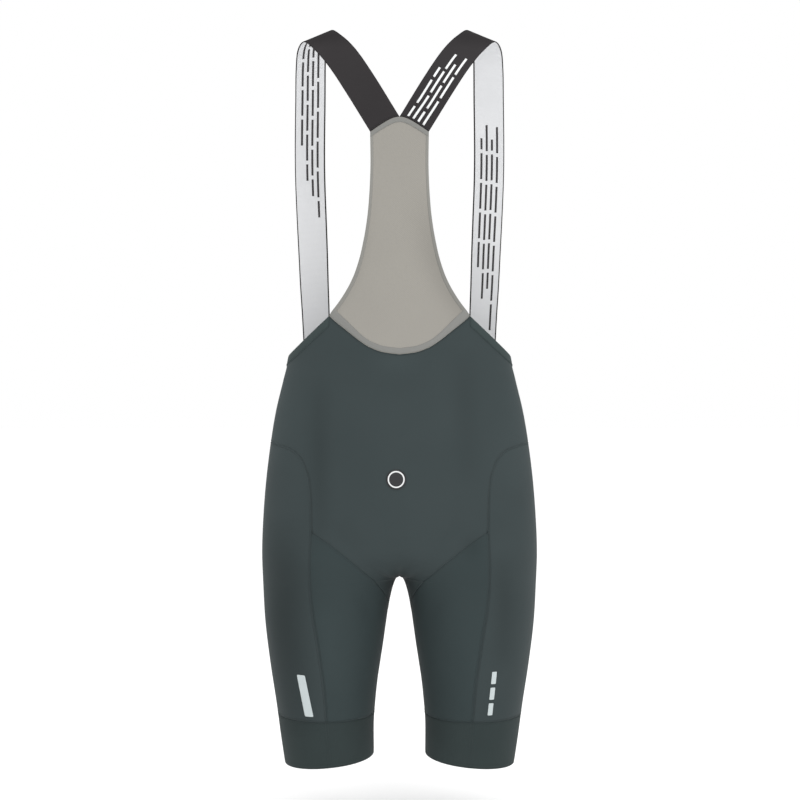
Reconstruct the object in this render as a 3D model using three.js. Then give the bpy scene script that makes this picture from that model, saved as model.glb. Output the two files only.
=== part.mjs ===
// Cycling bib shorts in their worn form, hollow and with no wearer.
// Millimetres. +Z is up, -Y is the wearer's back and +X the wearer's right side.
// The origin lies midway between the shoulders, at the height where the straps pass over them.
//
// Every panel is a wall of cloth. Its outer face lies on one smooth surface, bodyPoint(share, z):
// share 0 is the centre front, 0.5 the outermost side and 1 the centre back of the left half. Below
// the crotch the same share runs once round the leg, from the inseam and back to it. The right half
// mirrors the left. Panels meet at shared seam points, and each is then drawn in by half a gap.
import * as THREE from "three";

const seamGap = 0.3;
const clothWall = 1.5;
const meshWall = 1.2;
const strapWall = 1.6;

// Heights, down from the shoulders.
const crotchZ = -683;
const hemZ = -912.5;
const hemTilt = 5; // the hem rises by this much at the inner leg and drops as much outside
const bandTopZ = -855;
const sidePanelTopZ = -513;
const forkTipZ = -621.5; // where the side, thigh and body panels meet

// The legs join over this height: a quarter ellipse runs under the crotch, front and back.
const joinHeight = 75;
const joinTopZ = crotchZ + joinHeight;
const gussetDrop = 42; // the body panels' tips reach this far down each inner leg

// How square the sections are: 2 is an ellipse.
const torsoSquareness = 2.3;
const legSquareness = 2.1;
const centreSpread = 0.06; // rounds the cloth's turn between the legs, front and back
const turnReach = 0.2; // share of the half's girth from the centre over which that turn softens
const bridgeSlope = 0.4; // how fast the cloth widens its bridge between the legs, going up from the crotch

// Half width, and depth in front of and behind the widest point, at each height.
const outline = [
  { z: -90, side: 165, front: 110, back: 99 },
  { z: -180, side: 158, front: 108, back: 99 },
  { z: -240, side: 150, front: 104, back: 94 },
  { z: -300, side: 143, front: 101, back: 89 },
  { z: -358, side: 139.5, front: 100, back: 87 },
  { z: -406, side: 140.5, front: 100, back: 88 },
  { z: -436, side: 147, front: 102, back: 91 },
  { z: -474, side: 156, front: 104, back: 97 },
  { z: -512, side: 162.6, front: 105, back: 104 },
  { z: -562, side: 168.9, front: 103, back: 112 },
  { z: -613, side: 172.7, front: 99, back: 118.5 },
  { z: -652, side: 174, front: 93, back: 118 },
  { z: -690, side: 172.8, front: 87.5, back: 105 },
  { z: -740, side: 170, front: 83.5, back: 99.5 },
  { z: -791, side: 163.8, front: 79, back: 95 },
  { z: -842, side: 156, front: 72, back: 88 },
  { z: -880, side: 150.5, front: 66.5, back: 82.5 },
  { z: -914, side: 145, front: 62, back: 78 },
];

// Distance of the leg's deepest line from the centre plane, at each height.
const legMiddle = [
  { z: -600, middle: 86 },
  { z: -650, middle: 87.5 },
  { z: -683, middle: 89.5 },
  { z: -725, middle: 92.5 },
  { z: -791, middle: 94 },
  { z: -842, middle: 93.3 },
  { z: -880, middle: 91.3 },
  { z: -914, middle: 88.7 },
];

// Distance of the inner leg from the centre plane, against the root of the drop below the crotch.
const innerLeg = [
  { root: 0, inner: 0 },
  { root: 5.6, inner: 12.7 },
  { root: 7.5, inner: 16.6 },
  { root: 9.1, inner: 20.3 },
  { root: 10.4, inner: 24.2 },
  { root: 11.5, inner: 27.8 },
  { root: 12.6, inner: 30.6 },
  { root: 13.6, inner: 32.5 },
  { root: 15.2, inner: 32.5 },
];

// Seams, as distances across from the centre plane. Front and back seams match.
const sideSeam = [
  { z: sidePanelTopZ, across: 162.8 },
  { z: -515, across: 155 },
  { z: -518.5, across: 140 },
  { z: -523, across: 131 },
  { z: -530, across: 123.5 },
  { z: -539, across: 115.5 },
  { z: -552, across: 112.3 },
  { z: -575, across: 109 },
  { z: forkTipZ, across: 107.4 },
  { z: -660, across: 108.6 },
  { z: -697, across: 108 },
  { z: -722, across: 105.5 },
  { z: -748, across: 101 },
  { z: -779, across: 96.4 },
  { z: -815, across: 91.7 },
  { z: bandTopZ, across: 88.8 },
];
const thighSeam = [
  { z: forkTipZ, across: 107.4 },
  { z: -635, across: 85.7 },
  { z: -643, across: 75 },
  { z: -656, across: 58.6 },
  { z: -669, across: 44.4 },
  { z: -677, across: 35.5 },
  { z: crotchZ, across: 28.5 },
];

// Top edges: the back rises in two peaks beside its scoop, and slopes from them to the sides.
const peak = { across: 86.7, z: -357.7 };
const waistCorner = { across: 140.5, z: -406.4 };
const strapSeat = { outer: { across: 124, z: -419 }, inner: { across: 92, z: -427 } };
const backScoop = [
  { across: 0, z: -405.4 },
  { across: 21.5, z: -402.4 },
  { across: 37.1, z: -396.3 },
  { across: 48.9, z: -388.8 },
  { across: 58.8, z: -381 },
  { across: 68.7, z: -373 },
  { across: 79.6, z: -364.3 },
  peak,
];
const frontScoop = [
  { across: 0, z: -478 },
  { across: 28, z: -473 },
  { across: 55, z: -458 },
  { across: 76, z: -440 },
  strapSeat.inner,
];

// The mesh back panel: half its width at each height, and the blunt point of its top edge.
const meshTop = { across: 35.6, z: -135.4 };
const meshSides = [
  { z: peak.z, across: peak.across },
  { z: -352.9, across: 83.5 },
  { z: -338.5, across: 72.6 },
  { z: -324, across: 63.4 },
  { z: -309.5, across: 56.2 },
  { z: -295, across: 51 },
  { z: -280.5, across: 46.9 },
  { z: -252, across: 41.2 },
  { z: -223, across: 37.6 },
  { z: -180, across: 35.3 },
  meshTop,
];
const meshPoint = [
  { across: 0, z: -117.2 },
  { across: 5, z: -117.9 },
  { across: 11.4, z: -120.2 },
  { across: 22.5, z: -126.6 },
  meshTop,
];

// The left strap between its two seams: the middle of its outer face, and its width turned about Z
// and leaned up from level, in degrees.
const strapWidth = 40;
const strapStations = [
  { x: -48.8, y: -91, z: -75, turn: -3, lean: 31.5 },
  { x: -70.3, y: -66, z: -39.5, turn: 5, lean: 31.5 },
  { x: -88.9, y: -34, z: -14, turn: 14, lean: 28 },
  { x: -104.8, y: 0, z: 1.5, turn: 21, lean: 25 },
  { x: -112.8, y: 26, z: -7, turn: 20, lean: 17 },
  { x: -115.2, y: 46, z: -29, turn: 15, lean: 8 },
  { x: -116.6, y: 66, z: -69, turn: 11, lean: 2 },
  { x: -118, y: 81, z: -132, turn: 8, lean: 0 },
  { x: -117.8, y: 86, z: -171, turn: 8, lean: 0 },
  { x: -116.2, y: 88, z: -218, turn: 11, lean: 0 },
  { x: -114.2, y: 87, z: -265, turn: 17, lean: 0 },
  { x: -112.3, y: 84.5, z: -313, turn: 23, lean: 0 },
  { x: -110.4, y: 81, z: -350, turn: 28, lean: 0 },
  { x: -109, y: 76.5, z: -388, turn: 33, lean: 1 },
];
const strapSteps = 24;

// The round badge on the small of the back.
const badge = { x: -4, z: -557, radius: 12, wall: 0.8, lift: 0.3, spokes: 24 };

// Columns across each half panel. The mesh panel has a strap's columns, and so has the back's scoop.
const columns = { backSlope: 3, strap: 5, frontCentre: 4, frontSlope: 1, thigh: 5 };
const centreCrowding = 1.3; // narrows the columns towards the centre, for the turn between the legs

// Rows down the panels. Those that end on a side panel's rounded top slope up to the centre.
const edgeRows = 3;
const cornerRows = [
  { seam: sidePanelTopZ, centre: -484 },
  { seam: -515.5, centre: -498 },
  { seam: -521.5, centre: -513 },
  { seam: -533, centre: -531 },
  { seam: -552, centre: -551 },
];
const hipRows = 3;
const forkRows = 7;
const gussetRows = 5;
const legRows = 6;
const bandRows = 3;
const meshRows = 12;

const colours = { cloth: 0x43504f, band: 0x3a4543, mesh: 0xa5a29a, strap: 0xd8dadc, badge: 0x2b2c2e };

const lerp = THREE.MathUtils.lerp;
const steps = (from, to, count) => Array.from({ length: count + 1 }, (_, i) => lerp(from, to, i / count));

// Value of one column of a table, on a smooth curve through its rows.
function tableAt(table, by, key, at) {
  const rising = table[table.length - 1][by] > table[0][by];
  let i = table.findIndex((row) => (rising ? row[by] >= at : row[by] <= at));
  if (i < 0) i = table.length - 1;
  i = Math.min(Math.max(i, 1), table.length - 1);
  const slope = (j) => {
    const low = table[Math.max(j - 1, 0)];
    const high = table[Math.min(j + 1, table.length - 1)];
    return (high[key] - low[key]) / (high[by] - low[by]);
  };
  const [from, to] = [table[i - 1], table[i]];
  const span = to[by] - from[by];
  const t = THREE.MathUtils.clamp((at - from[by]) / span, 0, 1);
  const [t2, t3] = [t * t, t * t * t];
  return (
    (2 * t3 - 3 * t2 + 1) * from[key] +
    (t3 - 2 * t2 + t) * span * slope(i - 1) +
    (3 * t2 - 2 * t3) * to[key] +
    (t3 - t2) * span * slope(i)
  );
}

// 0 where the halves are one torso, 1 where they are two legs: a quarter ellipse down the centre,
// and a softer change away from it.
function legMerge(half, z) {
  const fall = THREE.MathUtils.clamp((joinTopZ - z) / joinHeight, 0, 1);
  const softness = THREE.MathUtils.smoothstep(half, 0, turnReach);
  return 1 - (1 - fall * fall) ** lerp(0.5, 2, softness);
}

// Spreads the columns beside the centre line, so that the torso is smooth across it.
function spread(share) {
  const scale = (Math.hypot(0.5, centreSpread) - centreSpread) / 0.5;
  return Math.sqrt((share * scale + centreSpread) ** 2 - centreSpread ** 2);
}

// Height of a rounded oval of unit size at this distance across.
function oval(across, squareness) {
  return (1 - Math.min(Math.abs(across), 1) ** squareness) ** (1 / squareness);
}

// How far beside the centre the legs' section is taken above the crotch, so that the cloth bridges
// them there without a fold.
function bridgeWidth(part, z) {
  const rise = THREE.MathUtils.clamp(z - crotchZ, 0, joinHeight);
  return bridgeSlope * rise * (1 - Math.min(part, 1) ** 2);
}

// A point of the left half's outer surface.
function bodyPoint(share, z) {
  if (share < 0 || share > 1) {
    const joined = z > crotchZ;
    const within = joined ? (share < 0 ? -share : 2 - share) : share - Math.floor(share);
    const point = bodyPoint(within, z);
    if (joined) point.x = -point.x;
    return point;
  }
  const side = tableAt(outline, "z", "side", z);
  const inner = z < crotchZ ? tableAt(innerLeg, "root", "inner", Math.sqrt(crotchZ - z)) : 0;
  const facing = share <= 0.5 ? 1 : -1;
  const depth = facing * tableAt(outline, "z", facing > 0 ? "front" : "back", z);
  const half = share <= 0.5 ? share : 1 - share;

  const middle = tableAt(legMiddle, "z", "middle", z);
  const radius = (inside) => (inside ? middle - inner : side - middle);
  const merge = legMerge(half, z);
  const legCos = Math.cos(2 * Math.PI * half);
  const legAcross = middle - radius(legCos > 0) * legCos;
  const across = lerp(side * Math.sin(Math.PI * spread(half)), legAcross, merge);
  const torsoDepth = oval(across / side, torsoSquareness);
  const bridged = Math.sqrt(across ** 2 + bridgeWidth(across / middle, z) ** 2);
  const legDepth = oval((bridged - middle) / radius(bridged < middle), legSquareness);
  const towardsHem = THREE.MathUtils.clamp((bandTopZ - z) / (bandTopZ - hemZ), 0, 1);
  return new THREE.Vector3(
    -across,
    depth * lerp(torsoDepth, legDepth, merge),
    z + hemTilt * towardsHem * legCos,
  );
}

// A smooth row number for each height, and back, so that slopes can be taken across the crotch.
const torsoStep = (joinHeight * Math.PI) / 2;
const legStep = 16;
function rowOf(z) {
  if (z >= joinTopZ) return 1 - (z - joinTopZ) / torsoStep;
  if (z >= crotchZ) return 1 + Math.asin((joinTopZ - z) / joinHeight) / (Math.PI / 2);
  return 2 + Math.sqrt(crotchZ - z) / legStep;
}
function heightOf(row) {
  if (row <= 1) return joinTopZ + (1 - row) * torsoStep;
  if (row <= 2) return joinTopZ - joinHeight * Math.sin(((row - 1) * Math.PI) / 2);
  return crotchZ - ((row - 2) * legStep) ** 2;
}

// The outward direction of the left half's surface.
function bodyNormal(share, z) {
  const [shareStep, rowStep] = [0.004, 0.03];
  const around = bodyPoint(share + shareStep, z).sub(bodyPoint(share - shareStep, z));
  const row = rowOf(z);
  const down = bodyPoint(share, heightOf(row + rowStep)).sub(bodyPoint(share, heightOf(row - rowStep)));
  const normal = down.cross(around).normalize();
  const onCentre = z >= crotchZ && (share === 0 || share === 1);
  if (onCentre) normal.x = 0;
  return normal.normalize();
}

// The share at which the left half's surface lies this far across, on the back or the front.
function shareAt(across, z, onBack = true) {
  let [near, far] = [0.5, 1];
  for (let i = 0; i < 40; i++) {
    const middle = (near + far) / 2;
    if (-bodyPoint(middle, z).x > across) near = middle;
    else far = middle;
  }
  return onBack ? near : 1 - near;
}

// Seam shares on the back; the front ones are 1 minus these.
function sideSeamShare(z) {
  if (z >= sidePanelTopZ) return 0.5;
  return shareAt(tableAt(sideSeam, "z", "across", z), z);
}
function thighSeamShare(z) {
  if (z > forkTipZ) return sideSeamShare(z);
  if (z > crotchZ) return shareAt(tableAt(thighSeam, "z", "across", z), z);
  const atCrotch = shareAt(thighSeam[thighSeam.length - 1].across, crotchZ);
  return lerp(atCrotch, 1, THREE.MathUtils.clamp((crotchZ - z) / gussetDrop, 0, 1));
}

// A point of the left half with its outward direction, and its mirror image on the right half.
const bodyNode = (share, z) => ({ point: bodyPoint(share, z), normal: bodyNormal(share, z) });
const mirrored = ({ point, normal }) => ({
  point: new THREE.Vector3(-point.x, point.y, point.z),
  normal: new THREE.Vector3(-normal.x, normal.y, normal.z),
});

// An open sheet of triangles that can be given a thickness.
class Sheet {
  constructor() {
    this.nodes = [];
    this.faces = [];
    this.found = new Map();
  }

  index(node) {
    const key = node.point.toArray().map((v) => Math.round(v * 1000)).join();
    if (!this.found.has(key)) {
      this.found.set(key, this.nodes.length);
      this.nodes.push(node);
    }
    return this.found.get(key);
  }

  // How far a triangle faces along its nodes' normals.
  facing([a, b, c]) {
    const [p, q, r] = [a, b, c].map((i) => this.nodes[i]);
    const across = q.point.clone().sub(p.point).cross(r.point.clone().sub(p.point));
    return across.dot(p.normal) + across.dot(q.normal) + across.dot(r.normal);
  }

  // Rows of nodes, all as long; a tip repeats one node. Each square is split along its shorter
  // diagonal, and the grid is turned to face outwards.
  addGrid(rows) {
    const indexed = rows.map((row) => row.map((node) => this.index(node)));
    const grid = [];
    for (let j = 0; j + 1 < indexed.length; j++) {
      for (let i = 0; i + 1 < indexed[j].length; i++) {
        const [a, b] = [indexed[j][i], indexed[j][i + 1]];
        const [d, c] = [indexed[j + 1][i], indexed[j + 1][i + 1]];
        const [p, q, r, t] = [a, b, c, d].map((k) => this.nodes[k].point);
        if (p.distanceTo(r) <= q.distanceTo(t)) grid.push([a, b, c], [a, c, d]);
        else grid.push([a, b, d], [b, c, d]);
      }
    }
    const faces = grid.filter(([a, b, c]) => a !== b && b !== c && c !== a);
    const turned = faces.reduce((sum, face) => sum + this.facing(face), 0) < 0;
    this.faces.push(...faces.map(([a, b, c]) => (turned ? [a, c, b] : [a, b, c])));
    return this;
  }

  addMirroredPair(rows) {
    return this.addGrid(rows).addGrid(rows.map((row) => row.map(mirrored)));
  }

  // Edges that one face uses, each with that face on its left.
  borderEdges() {
    const uses = new Map();
    for (const face of this.faces) {
      face.forEach((from, i) => uses.set(`${from},${face[(i + 1) % 3]}`, [from, face[(i + 1) % 3]]));
    }
    return [...uses.values()].filter(([from, to]) => !uses.has(`${to},${from}`));
  }

  // Outer points, with the border drawn in by half a seam gap.
  drawnIn(border) {
    const inward = new Map();
    for (const [from, to] of border) {
      const along = this.nodes[to].point.clone().sub(this.nodes[from].point).normalize();
      for (const i of [from, to]) {
        const pull = this.nodes[i].normal.clone().cross(along).normalize();
        inward.set(i, [...(inward.get(i) ?? []), pull]);
      }
    }
    return this.nodes.map(({ point }, i) => {
      const pulls = inward.get(i);
      if (!pulls) return point.clone();
      const sum = pulls.reduce((total, pull) => total.add(pull), new THREE.Vector3());
      const cosine = Math.max(sum.length() / pulls.length, 0.3);
      return point.clone().addScaledVector(sum.normalize(), seamGap / 2 / cosine);
    });
  }

  // Which end of a seam edge its two sheets both split the edge's wall from.
  isLower(a, b) {
    const [p, q] = [a, b].map((i) => this.nodes[i].point);
    if (Math.abs(p.z - q.z) > 1e-3) return p.z < q.z;
    return Math.abs(p.y - q.y) > 1e-3 ? p.y < q.y : p.x < q.x;
  }

  // The closed wall between the outer face, lifted off the surface, and an inner one.
  solid(wall, lift = 0) {
    const border = this.borderEdges();
    const outer = this.drawnIn(border).map((p, i) => p.addScaledVector(this.nodes[i].normal, lift));
    const inner = outer.map((p, i) => p.clone().addScaledVector(this.nodes[i].normal, -wall));
    const shift = outer.length;
    const index = [];
    for (const [a, b, c] of this.faces) index.push(a, b, c, a + shift, c + shift, b + shift);
    for (const [a, b] of border) {
      const [c, d] = [a + shift, b + shift];
      index.push(...(this.isLower(a, b) ? [a, c, b, b, c, d] : [a, c, d, a, d, b]));
    }
    const geometry = new THREE.BufferGeometry();
    const positions = [...outer, ...inner].flatMap((p) => p.toArray());
    geometry.setAttribute("position", new THREE.Float32BufferAttribute(positions, 3));
    geometry.setIndex(index);
    geometry.computeVertexNormals();
    return geometry;
  }
}

// Rows that the panels share, by their heights at the seam and at the centre.
const levelRow = (z) => ({ seam: z, centre: z });
const sharedRows = (() => {
  const forkTurn = Math.asin((joinTopZ - forkTipZ) / joinHeight);
  const forkTurns = steps(forkTurn, Math.PI / 2, forkRows);
  return {
    hip: steps(cornerRows[cornerRows.length - 1].seam, joinTopZ, hipRows).slice(1).map(levelRow),
    fork: forkTurns.map((turn) => levelRow(joinTopZ - joinHeight * Math.sin(turn))),
    gusset: steps(0, 1, gussetRows).slice(1).map((part) => levelRow(crotchZ - gussetDrop * part ** 2)),
    leg: steps(crotchZ - gussetDrop, bandTopZ, legRows).slice(1).map(levelRow),
  };
})();

// The point at this share of a top edge whose height depends on the distance across.
function onEdge(share, edgeHeight) {
  let z = peak.z;
  for (let i = 0; i < 12; i++) z = edgeHeight(-bodyPoint(share, z).x);
  return { share, z };
}

const straight = (from, to) => (across) =>
  lerp(from.z, to.z, THREE.MathUtils.clamp((across - from.across) / (to.across - from.across), 0, 1));
const backScoopHeight = (across) => tableAt(backScoop, "across", "z", across);
const frontScoopHeight = (across) => tableAt(frontScoop, "across", "z", across);

// Top edge of each body panel's left half, from the side seam to the centre.
const backEdge = (() => {
  const peakShare = shareAt(peak.across, peak.z);
  const slope = steps(0.5, peakShare, columns.backSlope).map((s) => onEdge(s, straight(peak, waistCorner)));
  const scoop = steps(0, 1, columns.strap).map((part) => {
    return onEdge(lerp(1, peakShare, (1 - part) ** centreCrowding), backScoopHeight);
  });
  return [...slope.slice(0, -1), { share: peakShare, z: peak.z }, ...scoop.slice(1)];
})();
const frontEdge = (() => {
  const { outer, inner } = strapSeat;
  const outerShare = shareAt(outer.across, outer.z, false);
  const innerShare = shareAt(inner.across, inner.z, false);
  const slopeHeight = straight(outer, waistCorner);
  const side = steps(0.5, outerShare, columns.frontSlope).map((s) => onEdge(s, slopeHeight));
  const seat = steps(outerShare, innerShare, columns.strap).map((s) => onEdge(s, straight(inner, outer)));
  const scoop = steps(0, 1, columns.frontCentre).map((part) => {
    return onEdge(innerShare * (1 - part) ** centreCrowding, frontScoopHeight);
  });
  return [...side.slice(0, -1), ...seat, ...scoop.slice(1)];
})();

// Rows of a body panel's left half: from its top edge down, between its seam and the centre, and
// ending in a tip at the inseam.
function bodyPanelRows(edge, centreShare) {
  const { hip, fork, gusset } = sharedRows;
  const rows = [...cornerRows, ...hip, ...fork, ...gusset].map(({ seam, centre }) => {
    const seamShare = centreShare === 1 ? thighSeamShare(seam) : 1 - thighSeamShare(seam);
    return edge.map(({ share }) => {
      const part = (share - 0.5) / (centreShare - 0.5);
      return { share: lerp(seamShare, centreShare, part), z: lerp(seam, centre, part) };
    });
  });
  const sloping = steps(0, 1, edgeRows)
    .slice(0, -1)
    .map((part) => edge.map(({ share, z }, i) => ({ share, z: lerp(z, rows[0][i].z, part) })));
  return [...sloping, ...rows].map((row) => row.map(({ share, z }) => bodyNode(share, z)));
}

// The side panel: its rounded top, rows that flatten below it, then level rows to the leg band.
const sidePanelRows = (() => {
  const corner = cornerRows.map(({ seam }) => ({ share: sideSeamShare(seam), z: seam }));
  const front = corner.map(({ share, z }) => ({ share: 1 - share, z }));
  const top = [...front.reverse(), ...corner.slice(1)];
  const cornerZ = top[0].z;
  const sides = top.length - 1;
  const rounded = steps(0, 1, hipRows).map((flat) => {
    const seam = sideSeamShare(lerp(cornerZ, joinTopZ, flat));
    return top.map(({ share, z }, i) => {
      const topPart = (share - top[0].share) / (top[sides].share - top[0].share);
      const part = lerp(topPart, i / sides, flat);
      return bodyNode(lerp(1 - seam, seam, part), lerp(z, joinTopZ, flat));
    });
  });
  const levels = [...sharedRows.fork, ...sharedRows.gusset, ...sharedRows.leg].map(({ seam: z }) => {
    const seam = sideSeamShare(z);
    return steps(1 - seam, seam, sides).map((share) => bodyNode(share, z));
  });
  return [...rounded, ...levels];
})();

// The thigh panel's back and front halves, from the fork's tips to the leg band.
function thighPanelRows(onBack) {
  return [...sharedRows.fork, ...sharedRows.gusset, ...sharedRows.leg].map(({ seam: z }) =>
    steps(sideSeamShare(z), thighSeamShare(z), columns.thigh).map((share) =>
      bodyNode(onBack ? share : 1 - share, z),
    ),
  );
}

const legBandRows = (() => {
  const seam = sideSeamShare(bandTopZ);
  const outside = steps(1 - seam, seam, 2 * (cornerRows.length - 1));
  const backInside = steps(seam, 1, columns.thigh).slice(1);
  const frontInside = steps(1, 2 - seam, columns.thigh).slice(1);
  const around = [...outside, ...backInside, ...frontInside];
  return steps(bandTopZ, hemZ, bandRows).map((z) => around.map((share) => bodyNode(share % 1, z)));
})();

// The mesh panel's left half: each row runs from the side edge to the centre.
function backNode(across, z) {
  return bodyNode(across > 0 ? shareAt(across, z) : 1, z);
}
const meshPanelRows = (() => {
  const bottom = backEdge.slice(columns.backSlope);
  const acrossShares = bottom.map(({ share, z }) => -bodyPoint(share, z).x / peak.across);
  return steps(0, 1, meshRows).map((rise) => {
    const halfWidth = tableAt(meshSides, "z", "across", lerp(peak.z, meshTop.z, rise));
    return bottom.map(({ share, z }, i) => {
      if (rise === 0) return bodyNode(share, z);
      const across = acrossShares[i] * halfWidth;
      const top = tableAt(meshPoint, "across", "z", acrossShares[i] * meshTop.across);
      return backNode(across, lerp(z, top, rise));
    });
  });
})();

// The left strap, from the mesh panel over the shoulder to the front panel.
const strapRows = (() => {
  const meshEnd = meshPanelRows[meshRows];
  const frontEnd = frontEdge
    .slice(columns.frontSlope, columns.frontSlope + columns.strap + 1)
    .map(({ share, z }) => bodyNode(share, z));
  const edgeOf = (sign, from, to) => {
    const middle = strapStations.map(({ x, y, z, turn, lean }) => {
      const [about, up] = [turn, lean].map(THREE.MathUtils.degToRad);
      const level = new THREE.Vector3(Math.cos(about), Math.sin(about), 0);
      const width = level.multiplyScalar(Math.cos(up)).setZ(Math.sin(up));
      return new THREE.Vector3(x, y, z).addScaledVector(width, (sign * strapWidth) / 2);
    });
    return new THREE.CatmullRomCurve3([from.point, ...middle, to.point], false, "centripetal");
  };
  const outerEdge = edgeOf(-1, meshEnd[0], frontEnd[0]);
  const innerEdge = edgeOf(1, meshEnd[meshEnd.length - 1], frontEnd[frontEnd.length - 1]);
  const facing = (t) => {
    const along = outerEdge.getTangent(t).add(innerEdge.getTangent(t));
    const width = innerEdge.getPoint(t).sub(outerEdge.getPoint(t));
    return width.cross(along).normalize();
  };
  const ends = { 0: meshEnd, 1: frontEnd };
  return steps(0, 1, strapSteps).map((t) => {
    if (ends[t]) return ends[t];
    return steps(0, 1, columns.strap).map((part) => ({
      point: outerEdge.getPoint(t).lerp(innerEdge.getPoint(t), part),
      normal: facing(t),
    }));
  });
})();

// The badge: rings of points on the back panel, about its middle.
const badgeRows = steps(0, badge.radius, 2).map((radius) =>
  steps(0, 2 * Math.PI, badge.spokes).map((turn) => {
    const [x, z] = [badge.x + radius * Math.cos(turn), badge.z + radius * Math.sin(turn)];
    const node = backNode(Math.abs(x), z);
    return x > 0 ? mirrored(node) : node;
  }),
);

const part = new THREE.Group();

function addPiece(name, geometry, colour, roughness = 0.75) {
  const material = new THREE.MeshStandardMaterial({ color: colour, roughness, metalness: 0 });
  const mesh = new THREE.Mesh(geometry, material);
  mesh.name = name;
  part.add(mesh);
}

// One piece for each side of the body, from the left one's rows.
function addPair(name, grids, wall, colour, roughness) {
  const left = new Sheet();
  const right = new Sheet();
  for (const rows of grids) {
    left.addGrid(rows);
    right.addGrid(rows.map((row) => row.map(mirrored)));
  }
  addPiece(`${name}_left`, left.solid(wall), colour, roughness);
  addPiece(`${name}_right`, right.solid(wall), colour, roughness);
}

const backPanel = new Sheet().addMirroredPair(bodyPanelRows(backEdge, 1));
const frontPanel = new Sheet().addMirroredPair(bodyPanelRows(frontEdge, 0));
addPiece("back_panel", backPanel.solid(clothWall), colours.cloth);
addPiece("front_panel", frontPanel.solid(clothWall), colours.cloth);
addPair("side_panel", [sidePanelRows], clothWall, colours.cloth);
addPair("thigh_panel", [thighPanelRows(true), thighPanelRows(false)], clothWall, colours.cloth);
addPair("leg_band", [legBandRows], clothWall, colours.band);
addPiece("mesh_panel", new Sheet().addMirroredPair(meshPanelRows).solid(meshWall), colours.mesh, 0.9);
addPair("strap", [strapRows], strapWall, colours.strap, 0.8);
const badgeSheet = new Sheet().addGrid(badgeRows);
addPiece("back_badge", badgeSheet.solid(badge.wall, badge.lift + badge.wall), colours.badge, 0.4);

export default part;
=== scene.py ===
# Cycling bib shorts in their worn form, seen level from behind: knit body, mesh back, woven straps.
import math

import bpy
import numpy as np
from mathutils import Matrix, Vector


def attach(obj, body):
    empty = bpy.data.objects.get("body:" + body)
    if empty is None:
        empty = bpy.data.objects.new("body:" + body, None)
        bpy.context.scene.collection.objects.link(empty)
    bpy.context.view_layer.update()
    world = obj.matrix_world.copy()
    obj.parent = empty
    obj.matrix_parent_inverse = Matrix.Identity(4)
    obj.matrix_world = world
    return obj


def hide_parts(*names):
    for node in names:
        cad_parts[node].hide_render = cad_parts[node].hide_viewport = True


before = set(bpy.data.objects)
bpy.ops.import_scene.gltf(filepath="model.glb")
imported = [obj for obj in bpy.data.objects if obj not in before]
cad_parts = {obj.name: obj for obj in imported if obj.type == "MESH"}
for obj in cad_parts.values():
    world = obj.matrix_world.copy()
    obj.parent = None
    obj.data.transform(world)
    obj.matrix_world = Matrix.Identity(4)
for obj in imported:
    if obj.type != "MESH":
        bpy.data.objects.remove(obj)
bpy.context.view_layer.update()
mm = 0.001
print("frame loaded")

# Heights down from the shoulders, and all sizes below, in millimetres.
crotchZ = -683.0
hemZ = -912.5
hemTilt = 5.0
bandTopZ = -855.0
forkTipZ = -621.5
joinHeight = 75.0
joinTopZ = crotchZ + joinHeight
gussetDrop = 42.0
torsoSquareness = 2.3
legSquareness = 2.1
centreSpread = 0.06
turnReach = 0.2
bridgeSlope = 0.4
seamGap = 0.02  # between the cloth pieces where they are sewn together
columnPower = 1.3  # sets columns closer together towards the centre line
shareStep = 0.004  # the steps round and down the body over which its normal is taken
rowStep = 0.03
halvings = 36  # of the stretch in which shareAt looks for its share
edgeTries = 14  # until a top edge's height agrees with its distance across

# z, half width, depth in front of and behind the widest point
outline = [
    (-90, 165, 110, 99), (-180, 158, 108, 99), (-240, 150, 104, 94), (-300, 143, 101, 89),
    (-358, 139.5, 100, 87), (-406, 140.5, 100, 88), (-436, 147, 102, 91), (-474, 156, 104, 97),
    (-512, 162.6, 105, 104), (-562, 168.9, 103, 112), (-613, 172.7, 99, 118.5), (-652, 174, 93, 118),
    (-690, 172.8, 87.5, 105), (-740, 170, 83.5, 99.5), (-791, 163.8, 79, 95), (-842, 156, 72, 88),
    (-880, 150.5, 66.5, 82.5), (-914, 145, 62, 78),
]
# z, distance of the leg's deepest line from the centre plane
legMiddle = [
    (-600, 86), (-650, 87.5), (-683, 89.5), (-725, 92.5), (-791, 94), (-842, 93.3), (-880, 91.3),
    (-914, 88.7),
]
# root of the drop below the crotch, distance of the inner leg from the centre plane
innerLeg = [
    (0, 0), (5.6, 12.7), (7.5, 16.6), (9.1, 20.3), (10.4, 24.2), (11.5, 27.8), (12.6, 30.6),
    (13.6, 32.5), (15.2, 32.5),
]
# z, distance across
sideSeam = [
    (-513, 162.8), (-515, 155), (-518.5, 140), (-523, 131), (-530, 123.5), (-539, 115.5),
    (-552, 112.3), (-575, 109), (forkTipZ, 107.4), (-660, 108.6), (-697, 108), (-722, 105.5),
    (-748, 101), (-779, 96.4), (-815, 91.7), (bandTopZ, 88.8),
]
thighSeam = [
    (forkTipZ, 107.4), (-635, 85.7), (-643, 75), (-656, 58.6), (-669, 44.4), (-677, 35.5),
    (crotchZ, 28.5),
]
# distance across, z
peak = (86.7, -357.7)
waistCorner = (140.5, -406.4)
strapSeatOuter = (124, -419)
strapSeatInner = (92, -427)
backScoop = [
    (0, -405.4), (21.5, -402.4), (37.1, -396.3), (48.9, -388.8), (58.8, -381), (68.7, -373),
    (79.6, -364.3), peak,
]
frontScoop = [(0, -478), (28, -473), (55, -458), (76, -440), strapSeatInner]
meshTop = (35.6, -135.4)
meshPoint = [(0, -117.2), (5, -117.9), (11.4, -120.2), (22.5, -126.6), meshTop]
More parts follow.
